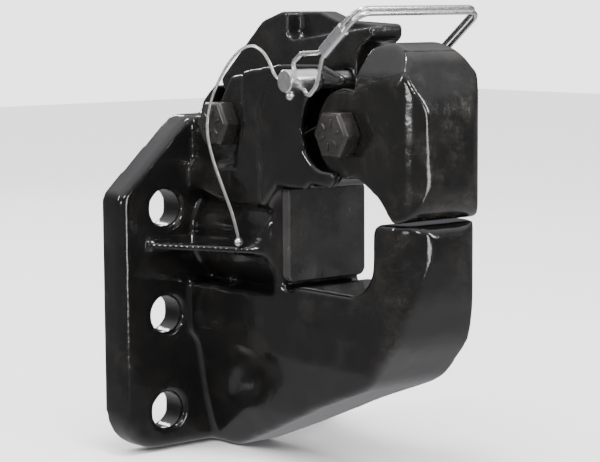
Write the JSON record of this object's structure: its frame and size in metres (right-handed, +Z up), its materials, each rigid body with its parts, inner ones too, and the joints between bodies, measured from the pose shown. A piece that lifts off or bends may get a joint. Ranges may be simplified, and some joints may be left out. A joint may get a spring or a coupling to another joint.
{
  "type": "pintle hook",
  "caption": "Plate-mounted pintle hook with a hinged latch, lock lever, bailed safety pin on a cable, and a sliding shoe behind the throat.",
  "frame": {"origin": "back face of the mounting plate, on its vertical middle line, level with the middle pair of holes", "axes": "+Z up, -Y from the plate to the nose, X across the hook"},
  "size_m": [0.198, 0.2449, 0.3085],
  "materials": {
    "body_paint": "gloss",
    "latch_paint": "gloss",
    "lever_paint": "gloss",
    "fastener_paint": "gloss",
    "shoe_paint": "gloss",
    "bright_zinc": "bright zinc",
    "bail_wire": "bright wire",
    "cable_wire": "stranded wire",
    "bushing_bronze": "machined",
    "spring_steel": "oiled",
    "rod_steel": "ground"
  },
  "bodies": {
    "root": {"hook_body": "body_paint", "latch_pivot_bolt": "fastener_paint", "latch_pivot_washer": "fastener_paint", "latch_pivot_nut": "fastener_paint", "lever_pivot_bolt": "fastener_paint", "lever_pivot_washer": "fastener_paint", "lever_pivot_nut": "fastener_paint", "lever_spring": "spring_steel", "lanyard_cable": "cable_wire", "lanyard_anchor_stop": "bright_zinc", "front_guide_bush": "bushing_bronze", "rear_guide_bush": "bushing_bronze"},
    "latch_body": {"latch": "latch_paint", "latch_bushings": "bushing_bronze"},
    "lever_body": {"lock_lever": "lever_paint", "lever_bushing": "bushing_bronze"},
    "pin_body": {"safety_pin": "bright_zinc", "lanyard_pin_stop": "bright_zinc"},
    "bail_body": {"pin_bail": "bail_wire", "bail_sleeve": "bright_zinc"},
    "plunger_body": {"plunger_shoe": "shoe_paint", "plunger_rod": "rod_steel", "rod_washer": "rod_steel", "rod_screw": "rod_steel"}
  },
  "joints": [
    {"name": "latch_pivot", "type": "hinge", "parent": "root", "child": "latch_body", "pos_m": [0, -0.181, 0.132], "axis": [-1, 0, 0], "range_deg": [0, 50]},
    {"name": "lever_pivot", "type": "hinge", "parent": "root", "child": "lever_body", "pos_m": [0, -0.06, 0.134], "axis": [-1, 0, 0], "range_deg": [0, 25]},
    {"name": "pin_pull", "type": "slide", "parent": "root", "child": "pin_body", "axis": [-1, 0, 0], "range_m": [0, 0.112]},
    {"name": "bail_swing", "type": "hinge", "parent": "pin_body", "child": "bail_body", "pos_m": [-0.053, -0.16, 0.166], "axis": [0, -0.6157, -0.788], "range_deg": [0, 190]},
    {"name": "shoe_slide", "type": "slide", "parent": "root", "child": "plunger_body", "axis": [0, -1, 0], "range_m": [0, 0.012]}
  ],
  "couplings": [
    {"joint": "lever_pivot", "follows": "latch_pivot", "ratio": 0.5},
    {"joint": "pin_pull", "follows": "latch_pivot", "m_per_rad": 0.1283},
    {"joint": "bail_swing", "follows": "latch_pivot", "ratio": 3.8}
  ]
}
